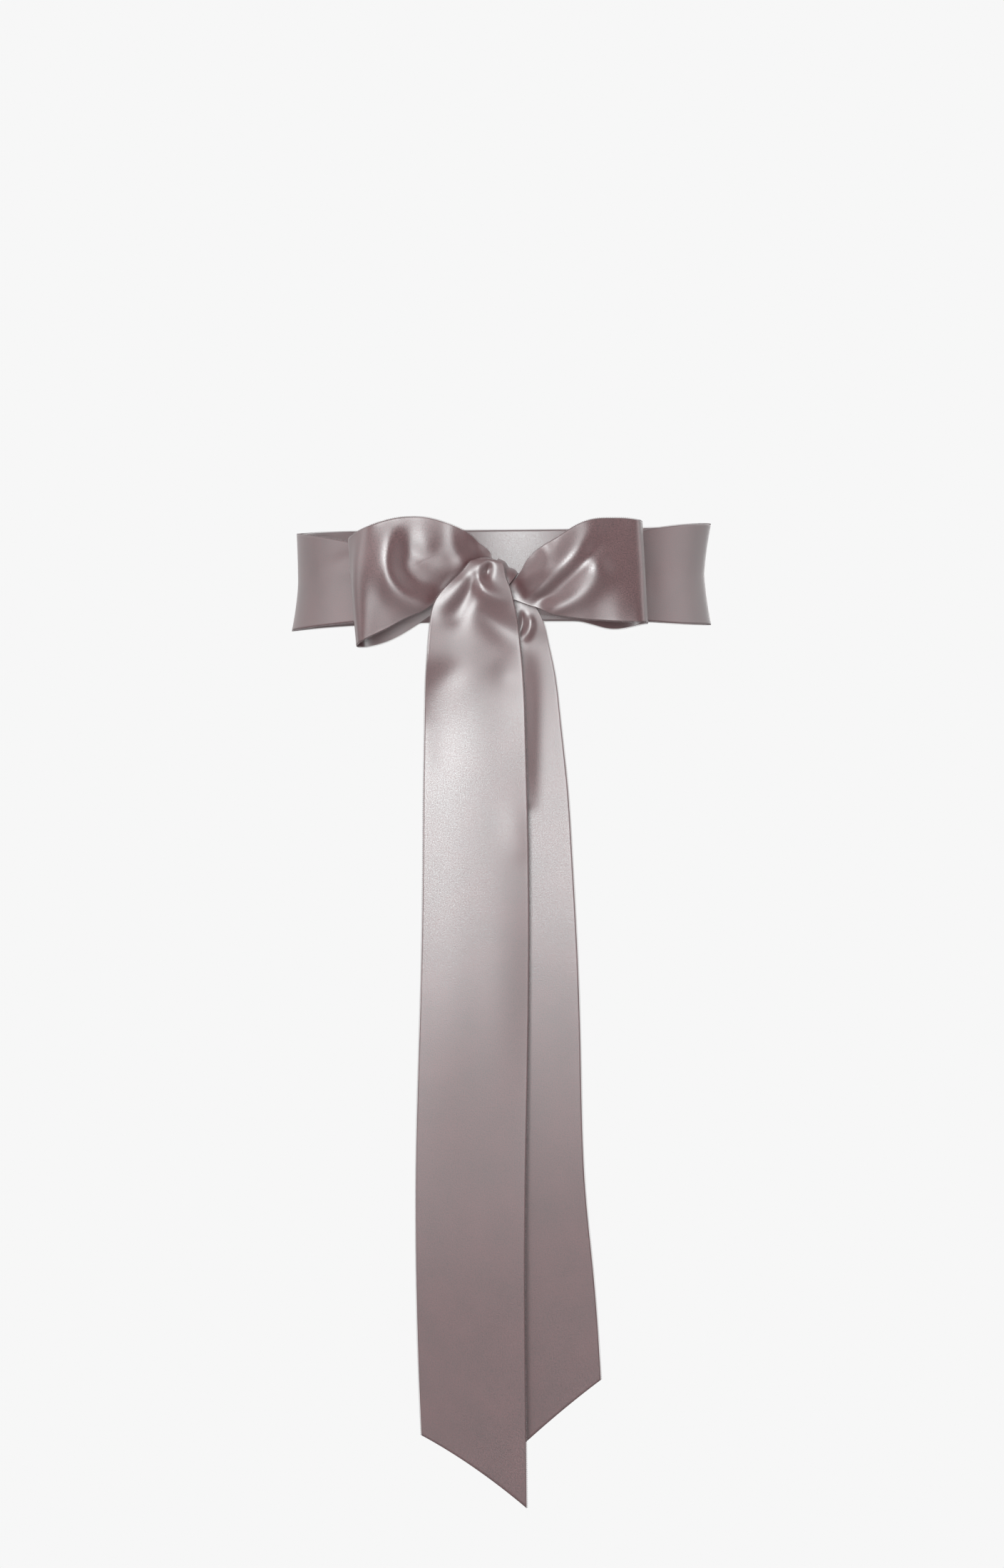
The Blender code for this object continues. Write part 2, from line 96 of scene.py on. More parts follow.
# Soft step: 3 t squared - 2 t cubed, with t held between 0 and 1.
def softStep(t):
    t = np.clip(t, 0.0, 1.0)
    return t * t * (3 - 2 * t)


# Height of the creases: each is a curve through three points in the X-Z plane, and the height falls off
# as exp(-(distance / width) squared). Depth and width change along the curve. The distance is a soft one,
# to all legs of the curve weighed by exp(-(distance / soft) squared), so a bend has no kink inside it.
def creaseHeight(x, z, creases):
    height = np.zeros(x.shape)
    soft = ribbon["bendSoft"]
    share = np.linspace(0, 1, ribbon["creaseLegs"] + 1)
    for x0, z0, x1, z1, x2, z2, depth0, depth1, depth2, width0, width1 in creases:
        start, middle, end = np.array([x0, z0]), np.array([x1, z1]), np.array([x2, z2])
        pull = 2 * middle - (start + end) / 2
        s = share[:, None]
        path = (1 - s)**2 * start + 2 * s * (1 - s) * pull + s**2 * end
        leg = np.linalg.norm(np.diff(path, axis=0), axis=1)
        halfway = (path[:-1] + path[1:]) / 2
        off = (x[..., None] - halfway[:, 0])**2 + (z[..., None] - halfway[:, 1])**2
        least = off.min(axis=-1)
        near = leg * np.exp((least[..., None] - off) / soft**2)
        total = near.sum(axis=-1)
        off = least - soft**2 * np.log(total / (soft * math.sqrt(math.pi)))
        place = (near * (share[:-1] + share[1:]) / 2).sum(axis=-1) / total
        depth = (depth0 * (1 - place) * (1 - 2 * place) + 4 * depth1 * place * (1 - place)
                 + depth2 * place * (2 * place - 1))
        width = width0 + (width1 - width0) * place
        height += depth * np.exp(-off / width**2)
    return height


# A stretch of ribbon between two edges: point = first edge + v (last edge - first edge) + puff outwards.
# The puff is 0 at both edges and takes the row's three heights at a quarter, half and three quarters of the
# width. Then the creases are added, and the cut end is bowed by 4 v (1 - v). The rows crowd where the cloth
# is gathered: share - crowd sin(2 pi share) on a loop, (1 - crowd) share + crowd share squared on a tail.
def ribbonSheet(piece):
    table = np.array(piece["sections"])
    middle = (table[:, 0:3] + table[:, 3:6]) / 2
    stations = np.concatenate([[0.0], np.cumsum(np.linalg.norm(np.diff(middle, axis=0), axis=1))])
    share = np.linspace(0, 1, piece["steps"][0] + 1)
    if piece["gatheredAt"] == "both":
        share = share - ribbon["loopCrowd"] * np.sin(2 * np.pi * share)
    else:
        share = (1 - ribbon["tailCrowd"]) * share + ribbon["tailCrowd"] * share**2
    along = stations[-1] * share
    rows = throughRows(stations, table, along)
    v = np.linspace(0, 1, piece["steps"][1] + 1)
    grid = rows[:, None, 0:3] + (rows[:, None, 3:6] - rows[:, None, 0:3]) * v[None, :, None]
    out = piece["out"] * gridNormals(grid)
    edges = np.zeros((len(rows), 1))
    puff = np.concatenate([edges, rows[:, 6:9], edges], axis=1)
    puff = throughRows(np.linspace(0, 1, 5), puff.T, v).T
    grid = grid + out * puff[..., None]
    out = piece["out"] * gridNormals(grid)
    front = 1 - softStep((along - piece["frontEnds"]) / ribbon["turnFade"])[:, None]
    height = creaseHeight(grid[..., 0], grid[..., 2], piece["creases"]) * front
    if piece.get("backCreases"):
        height = height + creaseHeight(grid[..., 0], grid[..., 2], piece["backCreases"]) * (1 - front)
    grid = grid + out * height[..., None]
    nearCut = softStep((along - along[-1]) / ribbon["cutFade"] + 1)[:, None]
    grid[..., 2] += piece.get("cutBow", 0.0) * nearCut * 4 * v * (1 - v)
    return grid


# A closed thin shell: sheet + and - normal times half the cloth, thicker at the rims by
# exp(-(way in from the edge / reach) squared). Its UV map is millimetres along and across.
def clothShell(name, grid, material, ring=False):
    count, wide = grid.shape[:2]
    normal = gridNormals(grid, ring)
    v = np.linspace(0, ribbon["width"], wide)
    rim = np.exp(-(np.minimum(v, ribbon["width"] - v) / ribbon["cordReach"])**2)
    half = (ribbon["cloth"] + ribbon["edgeCord"] * rim)[None, :, None] / 2
    points = np.concatenate([grid + normal * half, grid - normal * half]).reshape(-1, 3)
    back = count * wide
    turns = count if ring else count - 1
    i = np.arange(turns)[:, None]
    j = (i + 1) % count
    k = np.arange(wide - 1)[None, :]
    a, b, c, d = i * wide + k, j * wide + k, j * wide + k + 1, i * wide + k + 1
    front = np.stack([a, d, c, b], axis=-1).reshape(-1, 4)
    rear = np.stack([a, b, c, d], axis=-1).reshape(-1, 4) + back
    i, j = np.arange(turns) * wide, ((np.arange(turns) + 1) % count) * wide
    low = np.stack([i, j, j + back, i + back], axis=-1)
    high = np.stack([i, i + back, j + back, j], axis=-1) + wide - 1
    faces = [front, rear, low, high]
    if not ring:
        k = np.arange(wide - 1)
        faces.append(np.stack([k, k + back, k + 1 + back, k + 1], axis=-1))
        faces.append(np.stack([k, k + 1, k + 1 + back, k + back], axis=-1) + (count - 1) * wide)
    faces = np.concatenate(faces)
    mesh = bpy.data.meshes.new(name)
    mesh.from_pydata((points / 1000).tolist(), [], faces.tolist())
    run = np.linalg.norm(np.diff(grid, axis=0, append=grid[:1]), axis=2).mean(axis=1)[:count - 1]
    run = np.concatenate([[0.0], np.cumsum(run)])
    flat = np.stack(np.broadcast_arrays(run[:, None], v[None, :]), axis=-1).reshape(-1, 2)
    flat = np.concatenate([flat, flat + [0.0, ribbon["backPlace"]]])
    layer = mesh.uv_layers.new(name="ribbonUV")
    layer.data.foreach_set("uv", flat[faces.reshape(-1)].astype(np.float32).ravel())
    mesh.shade_smooth()
    mesh.materials.append(material)
    piece = bpy.data.objects.new(name, mesh)
    bpy.context.scene.collection.objects.link(piece)
    return piece


# Selvedge loops: along each edge, a small half ring of thread for each pitch. Point = edge + outwards
# (reach sin(turn) - sunk) + along (half a loop cos(turn)), with a four-sided thread round that line.
def selvedgeLoops(name, grid, material):
    points, faces, filled = [], [], 0
    rings, sides = ribbon["loopRings"], 4     # four sides, so one quad closes each end of a thread
    turn = np.pi * np.linspace(ribbon["loopFoot"], 1 - ribbon["loopFoot"], rings)
    around = 2 * np.pi * np.arange(sides) / sides
    for edge, inner in ((0, 1), (grid.shape[1] - 1, grid.shape[1] - 2)):
        line = grid[:, edge]
        run = np.concatenate([[0.0], np.cumsum(np.linalg.norm(np.diff(line, axis=0), axis=1))])
        number = int(run[-1] / ribbon["loopPitch"])
        at = (np.arange(number) + 0.5) * run[-1] / number
        place = np.stack([np.interp(at, run, line[:, n]) for n in range(3)], axis=-1)
        tangent = np.stack([np.interp(at, run, np.gradient(line[:, n], run)) for n in range(3)], axis=-1)
        tangent /= np.linalg.norm(tangent, axis=1, keepdims=True)
        outward = line - grid[:, inner]
        outward = np.stack([np.interp(at, run, outward[:, n]) for n in range(3)], axis=-1)
        outward -= tangent * (outward * tangent).sum(axis=1, keepdims=True)
        outward /= np.linalg.norm(outward, axis=1, keepdims=True)
        level = np.cross(tangent, outward)
        rise, sweep = np.sin(turn)[None, :, None], np.cos(turn)[None, :, None]
        outward, tangent = outward[:, None], tangent[:, None]
        ring = place[:, None] + outward * (ribbon["loopReach"] * rise - ribbon["loopSunk"])
        ring = ring + tangent * ribbon["loopHalf"] * ribbon["loopPitch"] * sweep
        radial = outward * rise + tangent * sweep
        thread = ribbon["loopThread"] * (radial[:, :, None] * np.cos(around)[None, None, :, None]
                                         + level[:, None, None] * np.sin(around)[None, None, :, None])
        tube = (ring[:, :, None] + thread).reshape(-1, 3)
        n = np.arange(number)[:, None, None] * rings * sides
        r = n + np.arange(rings - 1)[None, :, None] * sides
        s = np.arange(sides)[None, None, :]
        nextS = (s + 1) % sides
        corners = (r + s, r + sides + s, r + sides + nextS, r + nextS)
        quad = np.stack(np.broadcast_arrays(*corners), axis=-1)
        first = n[:, 0] + s[0]
        last = n[:, 0] + rings * sides - 1 - s[0]
        quads = np.concatenate([quad.reshape(-1, 4), first, last])
        points.append(tube)
        faces.append(quads + filled)
        filled += len(tube)
    mesh = bpy.data.meshes.new(name)
    mesh.from_pydata((np.concatenate(points) / 1000).tolist(), [], np.concatenate(faces).tolist())
    mesh.shade_smooth()
    mesh.materials.append(material)
    piece = bpy.data.objects.new(name, mesh)
    bpy.context.scene.collection.objects.link(piece)
    return piece


# The weave. Noises: scale, detail, stretch along, across and through the ribbon.
weaveLook = {
    "grain": (1.5, 1.0, (1.0, 1.0, 1.0)),       # the speckle of the floats
    "threads": (2.6, 1.0, (0.22, 1.3, 1.0)),    # warp threads, long and narrow
    "bars": (1.3, 1.0, (1.6, 0.15, 1.0)),       # faint weft bars
    "slubs": (0.05, 2.0, (1.0, 1.0, 1.0)),      # slow changes of tone
    "threadShare": 0.25,
    "barShare": 0.2,
    "slubShade": 0.5,       # how far the slubs change the tone
    "weaveShade": 1.8,      # how far the weave changes the tone
    "weaveGloss": 0.3,      # how far the weave changes the roughness
}


# The satin weave, as a node group. Weave = grain + share of the warp threads + share of the weft bars, each
# noise less its middle 0.5. The tone goes from deep to light with 0.5 + weave and slubs, the roughness moves
# with the weave, and the height is the weave itself.
def satinWeaveGroup():
    group = bpy.data.node_groups.new("satinWeave", "ShaderNodeTree")
    for label, way, kind in (("Ribbon UV", "INPUT", "Vector"), ("Light Tone", "INPUT", "Color"),
                             ("Deep Tone", "INPUT", "Color"), ("Grain", "INPUT", "Float"),
                             ("Roughness", "INPUT", "Float"), ("Color", "OUTPUT", "Color"),
                             ("Roughness", "OUTPUT", "Float"), ("Height", "OUTPUT", "Float")):
        group.interface.new_socket(label, in_out=way, socket_type="NodeSocket" + kind)
    nodes, links = group.nodes, group.links
    enter, leave = nodes.new("NodeGroupInput"), nodes.new("NodeGroupOutput")

    def calculate(operation, first, second):
        node = nodes.new("ShaderNodeMath")
        node.operation = operation
        for socket, value in zip(node.inputs, (first, second)):
            if isinstance(value, (int, float)):
                socket.default_value = value
            else:
                links.new(value, socket)
        return node.outputs["Value"]

    def noise(label):
        scale, detail, stretch = weaveLook[label]
        mapping = nodes.new("ShaderNodeMapping")
        mapping.inputs["Scale"].default_value = stretch
        texture = nodes.new("ShaderNodeTexNoise")
        texture.inputs["Scale"].default_value = scale
        texture.inputs["Detail"].default_value = detail
        links.new(enter.outputs["Ribbon UV"], mapping.inputs["Vector"])
        links.new(mapping.outputs["Vector"], texture.inputs["Vector"])
        return calculate("SUBTRACT", texture.outputs["Fac"], 0.5)

    threads = calculate("MULTIPLY", noise("threads"), weaveLook["threadShare"])
    bars = calculate("MULTIPLY", noise("bars"), weaveLook["barShare"])
    weave = calculate("ADD", noise("grain"), calculate("ADD", threads, bars))
    weave = calculate("MULTIPLY", weave, enter.outputs["Grain"])
    shade = calculate("ADD", calculate("MULTIPLY", weave, weaveLook["weaveShade"]), 0.5)
    shade = calculate("ADD", shade, calculate("MULTIPLY", noise("slubs"), weaveLook["slubShade"]))
    gloss = calculate("MULTIPLY", weave, weaveLook["weaveGloss"])
    gloss = calculate("ADD", enter.outputs["Roughness"], gloss)
    mix = nodes.new("ShaderNodeMix")
    mix.data_type = "RGBA"
    links.new(shade, mix.inputs["Factor"])
    links.new(enter.outputs["Deep Tone"], mix.inputs["A"])
    links.new(enter.outputs["Light Tone"], mix.inputs["B"])
    links.new(mix.outputs["Result"], leave.inputs["Color"])
    links.new(gloss, leave.inputs["Roughness"])
    links.new(weave, leave.inputs["Height"])
    return group


# Both faces of the ribbon: dark mauve body colour under a broad, nearly neutral gloss.
satinLook = {
    "lightTone": (0.150, 0.052, 0.056, 1),
    "deepTone": (0.044, 0.015, 0.017, 1),
    "roughness": 0.48,
    "ior": 2.7,
    "tint": (0.95, 1.0, 1.0, 1),
    "anisotropy": 0.5,
    "acrossWarp": 0.25,     # turn of the gloss, so that it spreads across the warp
    "sheen": 0.12,
    "sheenRoughness": 0.35,
    "grain": 1.0,
    "bump": 0.045,          # mm of relief
    "bumpStrength": 0.7,
}


# The satin material: the weave group's colour, roughness and height on one glossy shader, whose gloss is
# stretched across the warp.
def satin(name, group):
    material = bpy.data.materials.new(name)
    material.use_nodes = True
    nodes, links = material.node_tree.nodes, material.node_tree.links
    shader = nodes["Principled BSDF"]
    shader.inputs["IOR"].default_value = satinLook["ior"]
    shader.inputs["Specular Tint"].default_value = satinLook["tint"]
    shader.inputs["Anisotropic"].default_value = satinLook["anisotropy"]
    shader.inputs["Anisotropic Rotation"].default_value = satinLook["acrossWarp"]
    shader.inputs["Sheen Weight"].default_value = satinLook["sheen"]
    shader.inputs["Sheen Roughness"].default_value = satinLook["sheenRoughness"]
    place = nodes.new("ShaderNodeUVMap")
    place.uv_map = "ribbonUV"
    weave = nodes.new("ShaderNodeGroup")
    weave.node_tree = group
    weave.inputs["Light Tone"].default_value = satinLook["lightTone"]
    weave.inputs["Deep Tone"].default_value = satinLook["deepTone"]
    weave.inputs["Grain"].default_value = satinLook["grain"]
    weave.inputs["Roughness"].default_value = satinLook["roughness"]
    bump = nodes.new("ShaderNodeBump")
    bump.inputs["Strength"].default_value = satinLook["bumpStrength"]
    bump.inputs["Distance"].default_value = satinLook["bump"] / 1000
    warp = nodes.new("ShaderNodeTangent")
    warp.direction_type = "UV_MAP"
    warp.uv_map = "ribbonUV"
    links.new(place.outputs["UV"], weave.inputs["Ribbon UV"])
    links.new(weave.outputs["Color"], shader.inputs["Base Color"])
    links.new(weave.outputs["Roughness"], shader.inputs["Roughness"])
    links.new(weave.outputs["Height"], bump.inputs["Height"])
    links.new(bump.outputs["Normal"], shader.inputs["Normal"])
    links.new(warp.outputs["Tangent"], shader.inputs["Tangent"])
    return material


threadLook = {
    "deepTone": (0.10, 0.07, 0.073, 1),
    "lightTone": (0.30, 0.25, 0.255, 1),
    "deepUpTo": 0.3,        # noise value up to which the thread has its deep tone
    "lightFrom": 0.7,       # noise value from which it has its light tone
    "roughness": 0.5,
    "sheen": 0.2,
    "twist": 900.0,         # noise turns per metre along the thread
}


# The selvedge loops' thread: a fine twist noise between its deep and light tone.
def selvedgeThread(name):
    material = bpy.data.materials.new(name)
    material.use_nodes = True
    nodes, links = material.node_tree.nodes, material.node_tree.links
    shader = nodes["Principled BSDF"]
    shader.inputs["Roughness"].default_value = threadLook["roughness"]
    shader.inputs["Sheen Weight"].default_value = threadLook["sheen"]
    place = nodes.new("ShaderNodeTexCoord")
    twist = nodes.new("ShaderNodeTexNoise")
    twist.inputs["Scale"].default_value = threadLook["twist"]
    ramp = nodes.new("ShaderNodeValToRGB")
    ramp.color_ramp.elements[0].position = threadLook["deepUpTo"]
    ramp.color_ramp.elements[0].color = threadLook["deepTone"]
    ramp.color_ramp.elements[1].position = threadLook["lightFrom"]
    ramp.color_ramp.elements[1].color = threadLook["lightTone"]
    links.new(place.outputs["Object"], twist.inputs["Vector"])
    links.new(twist.outputs["Fac"], ramp.inputs["Fac"])
    links.new(ramp.outputs["Color"], shader.inputs["Base Color"])
    return material


weaveGroup = satinWeaveGroup()
satinFace = satin("mauveSatin", weaveGroup)
loopThread = selvedgeThread("selvedgeThread")
print("materials made")


# Puts a piece into the frame: a thin cloth shell hung on the root in place of its CAD part, with its
# selvedge loops where its edges show.
def dress(name, grid, node, ring=False, edges=True):
    shell = clothShell(name, grid, satinFace, ring)
    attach(shell, "root")
    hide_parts(node)
    trims = []
    if edges:
        trims.append(selvedgeLoops(name + "Selvedge", grid, loopThread))
        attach(trims[0], "root")
    print(name, "made,", len(shell.data.polygons), "faces")


# Waist band. Rows: angle from the bow by way of -X, top Z, bottom Z, out, top, middle and bottom flare.
waistBand = {
    "halfWidth": 117.6,
    "halfDepth": 92.0,
    "flareCurve": 1.5,
    "gatherFade": 4.0,      # degrees over which a gather fades past its ends
    "cut": (0.057, 0.675),  # width and length, flat
    "steps": (620, 44),     # along, across
    "sections": (
        (-3.0, -1.5, -13.5, 1.1, 0.0, 0.0, 0.0),
        (3.0, -3.0, -16.0, 1.1, 0.0, 0.0, 0.0),
        (10.0, -0.5, -20.0, 0.6, 0.2, 0.0, 0.4),
        (21.0, 6.0, -24.0, 0.0, 0.3, 0.0, 0.8),
        (42.0, 15.5, -27.0, 0.0, 0.6, 0.0, 1.6),
        (62.0, 21.5, -29.2, 0.0, 0.8, 0.2, 2.4),
        (90.0, 25.5, -30.0, 0.0, 0.8, 0.0, 3.6),
        (125.0, 31.0, -26.3, 0.0, 1.4, 0.0, 2.8),
        (180.0, 35.0, -22.0, 0.0, 1.4, 0.0, 2.4),
        (235.0, 33.6, -23.6, 0.0, 1.6, 0.0, 2.6),
        (270.0, 31.0, -26.2, 0.0, 3.0, -1.0, 3.0),
        (298.0, 28.0, -27.6, 0.0, 1.2, 0.0, 2.0),
        (318.0, 23.0, -26.7, 0.0, 0.8, 0.0, 1.2),
        (339.0, 11.0, -23.0, 0.0, 0.4, 0.0, 0.6),
        (350.0, 2.0, -20.0, -0.2, 0.2, 0.0, 0.3),
        (357.0, -3.0, -17.5, -0.9, 0.0, 0.0, 0.0),
        (363.0, -5.5, -18.0, -0.9, 0.0, 0.0, 0.0),
    ),
    # Gathers on the bow side: start angle and v, end angle and v, depth, width at start and end.
    "gathers": (
        (1.0, 0.28, 33.0, 0.22, 0.9, 3.5, 8.0),
        (1.0, 0.50, 46.0, 0.46, -1.0, 3.5, 11.0),
        (1.0, 0.72, 37.0, 0.80, 0.9, 3.5, 8.0),
        (36.0, 0.05, 60.0, 0.42, -0.8, 5.0, 7.0),
        (330.0, 0.30, 359.0, 0.28, 0.9, 8.0, 3.5),
        (317.0, 0.58, 359.0, 0.50, -1.0, 10.0, 3.5),
        (329.0, 0.78, 359.0, 0.72, 0.9, 8.0, 3.5),
    ),
}


# Band: X = -(a + out) sin(angle), Y = -(b + out) cos(angle), with out from the flares and the gathers. The
# flares fade from each edge to the middle as (way from the middle)^curve, and a gather's depth goes as
# sin(pi (0.1 + 0.8 share)) along it and exp(-(distance / width)^2) across it.
def bandSheet(piece):
    table = np.array(piece["sections"])
    angle = np.linspace(table[0, 0], table[-1, 0], piece["steps"][0] + 1)
    rows = throughRows(table[:, 0], table[:, 1:], angle)
    v = np.linspace(0, 1, piece["steps"][1] + 1)
    low, high = np.clip(1 - v / 0.5, 0, 1), np.clip((v - 0.5) / 0.5, 0, 1)
    lowFlare, highFlare = low**piece["flareCurve"], high**piece["flareCurve"]
    out = rows[:, 2:3] + rows[:, 3:4] * lowFlare + rows[:, 4:5] * (1 - low - high) + rows[:, 5:6] * highFlare
    place = angle[:, None]
    for start, startV, end, endV, depth, startWidth, endWidth in piece["gathers"]:
        share = np.clip((place - start) / (end - start), 0, 1)
        off = (v - startV - (endV - startV) * share) * ribbon["width"]
        width = startWidth + (endWidth - startWidth) * share
        fade = np.exp(-((place - start - share * (end - start)) / piece["gatherFade"])**2)
        fade = fade * np.sin(np.pi * (0.1 + 0.8 * share))
        out = out + depth * fade * np.exp(-(off / width)**2)
    turn = np.radians(angle)[:, None]
    x = -(piece["halfWidth"] + out) * np.sin(turn)
    y = -(piece["halfDepth"] + out) * np.cos(turn)
    z = rows[:, 0:1] + (rows[:, 1:2] - rows[:, 0:1]) * v
    return np.stack([x, y, z], axis=-1)


dress("waistBand", bandSheet(waistBand), "sash_waist_band")

# Left loop. Rows: top edge X Y Z, bottom edge X Y Z, puff at a quarter, half and three quarters of the
# width, from the knot round the turn and back.
leftLoop = {
    "cut": (0.057, 0.175),
    "steps": (300, 96),
    "out": -1,              # side of the grid that faces outwards
    "gatheredAt": "both",
    "frontEnds": 92.0,      # run at which the front layer turns back
    "sections": (
        (-2.4, -104.4, -0.7, -7.6, -104.4, -7.3, 0.0, 0.0, 0.0),
        (-5.0, -104.7, 2.8, -11.4, -104.7, -5.4, 0.2, 0.2, 0.2),
        (-6.2, -105.6, 8.0, -18.2, -105.8, -1.8, 0.3, 0.3, 0.2),
        (-11.0, -108.4, 12.7, -26.5, -107.2, -7.0, 0.7, 0.6, 0.6),
        (-17.5, -111.8, 18.0, -34.8, -108.3, -15.5, 0.2, 0.6, 0.2),
        (-26.0, -114.3, 22.0, -43.0, -109.1, -21.8, 1.1, 1.9, 1.4),
        (-37.0, -116.5, 25.4, -51.5, -109.3, -26.6, 2.3, 3.1, 2.2),
        (-48.0, -117.7, 26.2, -59.5, -109.2, -31.2, 3.2, 4.1, 2.7),
        (-59.0, -117.6, 24.6, -67.0, -108.7, -34.8, 3.6, 4.5, 3.0),
        (-70.0, -116.8, 21.2, -73.6, -107.7, -38.0, 3.9, 4.4, 2.6),
        (-79.4, -103.4, 17.4, -76.6, -100.4, -39.8, 0.8, 1.0, 0.6),
        (-82.0, -93.2, 15.7, -77.4, -94.0, -40.6, 0.2, 0.2, 0.2),
        (-80.4, -85.6, 14.8, -75.0, -88.8, -41.2, 0.2, 0.2, 0.2),
        (-70.0, -85.8, 14.2, -66.5, -89.4, -39.8, 0.0, 0.0, 0.0),
        (-50.0, -90.6, 10.4, -52.0, -93.0, -33.6, -0.4, -0.6, -0.4),
        (-26.0, -96.8, 5.4, -34.0, -97.2, -21.6, -0.4, -0.6, -0.4),
        (-11.4, -99.6, 3.2, -18.0, -99.6, -9.0, -0.2, -0.2, -0.2),
        (-5.4, -100.5, 2.2, -11.0, -100.5, -4.8, 0.0, 0.0, 0.0),
        (-2.6, -100.8, -0.9, -7.4, -100.8, -7.1, 0.0, 0.0, 0.0),
    ),
    # Creases: X Z at the start, middle and end, depth at each (out is +), width at start and end.
    "creases": (
        (-53.1, 24.1, -58.5, -3.7, -35.4, -18.7, 2.5, 5.0, 3.2, 7.2, 8.7),
        (-47.0, 15.0, -51.5, -2.0, -36.0, -9.0, 0.2, -3.4, -2.0, 6.4, 6.6),
        (-52.8, 25.1, -43.7, 5.5, -21.6, -0.1, -1.7, -1.9, 0.5, 7.7, 4.4),
        (-25.5, 24.6, -24.3, 9.6, -17.2, 2.5, 0.3, 1.3, 1.6, 4.1, 4.4),
        (-19.8, 20.9, -17.1, 14.1, -12.9, 6.2, 0.1, 0.9, -0.2, 4.1, 4.4),
        (-34.1, 10.2, -30.7, 2.4, -21.6, 0.7, -0.8, 0.4, 1.0, 4.5, 4.4),
        (-16.6, 18.4, -14.2, 13.1, -11.0, 8.8, -0.5, -1.9, -0.9, 3.6, 4.4),
    ),
    "backCreases": (
        (-12.0, -2.0, -40.0, -8.0, -62.0, -14.0, -0.6, -1.6, 0.0, 2.5, 7.0),
    ),
}
dress("leftLoop", ribbonSheet(leftLoop), "sash_loop_left")

# Right loop, with the same columns.
rightLoop = {
    "cut": (0.057, 0.170),
    "steps": (300, 96),
    "out": 1,
    "gatheredAt": "both",
    "frontEnds": 90.0,
    "sections": (
        (2.7, -104.4, -4.5, -2.7, -104.4, -11.5, 0.0, 0.0, 0.0),
        (6.4, -104.8, -6.2, 0.4, -104.8, -14.4, 0.2, 0.2, 0.2),
        (9.6, -106.2, -3.8, 6.8, -104.9, -16.6, 0.2, 0.2, -0.3),
        (12.6, -109.2, 3.0, 14.8, -105.7, -19.6, 0.4, 1.4, 0.6),
        (19.0, -111.4, 9.6, 23.6, -106.6, -22.6, 1.6, 2.6, 2.5),
        (29.0, -112.0, 15.8, 33.4, -107.1, -25.2, 2.8, 3.7, 3.1),
        (38.5, -111.9, 21.4, 42.5, -107.2, -26.6, 3.4, 4.5, 3.5),
        (48.5, -110.5, 25.0, 50.5, -106.8, -27.2, 3.3, 4.5, 3.5),
        (58.6, -108.7, 26.2, 60.0, -107.3, -27.8, 2.5, 3.4, 2.7),
        (66.4, -106.8, 26.2, 68.6, -106.4, -28.0, 1.6, 2.3, 1.7),
        (71.6, -104.6, 25.6, 74.4, -104.6, -28.0, 0.8, 1.2, 0.7),
        (74.0, -97.4, 25.4, 76.8, -98.0, -28.2, 0.1, 0.2, 0.1),
        (74.4, -88.8, 25.2, 77.4, -90.0, -28.4, 0.0, 0.0, 0.0),
        (71.4, -85.0, 24.6, 74.4, -87.0, -29.0, 0.0, 0.0, 0.0),
        (63.5, -84.8, 22.6, 64.0, -87.4, -31.2, 0.0, 0.0, 0.0),
        (46.0, -89.8, 16.4, 49.0, -92.4, -29.4, -0.4, -0.6, -0.4),
        (26.0, -95.4, 6.0, 28.0, -96.8, -25.0, -0.4, -0.6, -0.4),
        (12.6, -98.6, -5.6, 12.4, -99.0, -22.8, 0.0, 0.0, 0.0),
        (8.4, -99.8, -8.2, 6.0, -99.8, -20.4, 0.0, 0.0, 0.0),
        (5.4, -100.5, -7.6, 0.4, -100.5, -14.2, 0.0, 0.0, 0.0),
        (2.4, -100.8, -4.9, -2.4, -100.8, -11.1, 0.0, 0.0, 0.0),
    ),
    "creases": (
        (6.3, -6.5, 33.7, 5.1, 45.8, 21.8, 0.8, 4.1, 3.5, 3.6, 9.9),
        (18.1, -16.8, 38.9, -0.6, 49.7, 12.2, -1.3, -3.7, -0.7, 3.6, 4.7),
        (14.7, -15.6, 31.8, -3.7, 45.6, 4.0, 1.4, 3.9, 3.1, 3.6, 7.2),
        (16.1, -16.9, 34.4, -13.7, 44.0, -4.3, -1.5, -2.3, -0.8, 3.6, 5.5),
        (25.0, -22.1, 38.4, -14.1, 51.6, -1.2, 1.4, 3.1, 3.5, 3.6, 8.0),
        (18.9, -4.6, 23.6, 5.7, 21.4, 13.2, -0.4, 0.9, 0.9, 3.6, 4.4),
    ),
    "backCreases": (
        (8.0, -16.0, 30.0, -14.0, 55.0, -16.0, -0.6, -1.6, 0.0, 2.5, 7.0),
    ),
}
dress("rightLoop", ribbonSheet(rightLoop), "sash_loop_right")

# Knot wrap: an oval tube on a slanting axis with folds round it.
knotWrap = {
    "centre": (-2.5, -101.8, -6.0),
    "slant": 38.0,
    "halfLength": 6.5,
    "halfHeight": 9.5,
    "halfDepth": 6.5,
    "foldRoom": 0.6,         # left inside the half sizes for the folds
    "flare": 0.06,           # share by which both ends open
    "cut": (0.057, 0.052),
    "cutArea": 0.00092,      # the part of the cut that shows
    "steps": (160, 60),      # round, along
    # Folds: share of its length, height, width, share of the length by which it slants.
    "folds": (
        (0.14, 0.7, 2.0, 0.06),
        (0.40, 0.9, 2.2, -0.05),
        (0.66, 0.8, 2.0, 0.07),
        (0.90, 0.6, 1.8, -0.04),
    ),
}


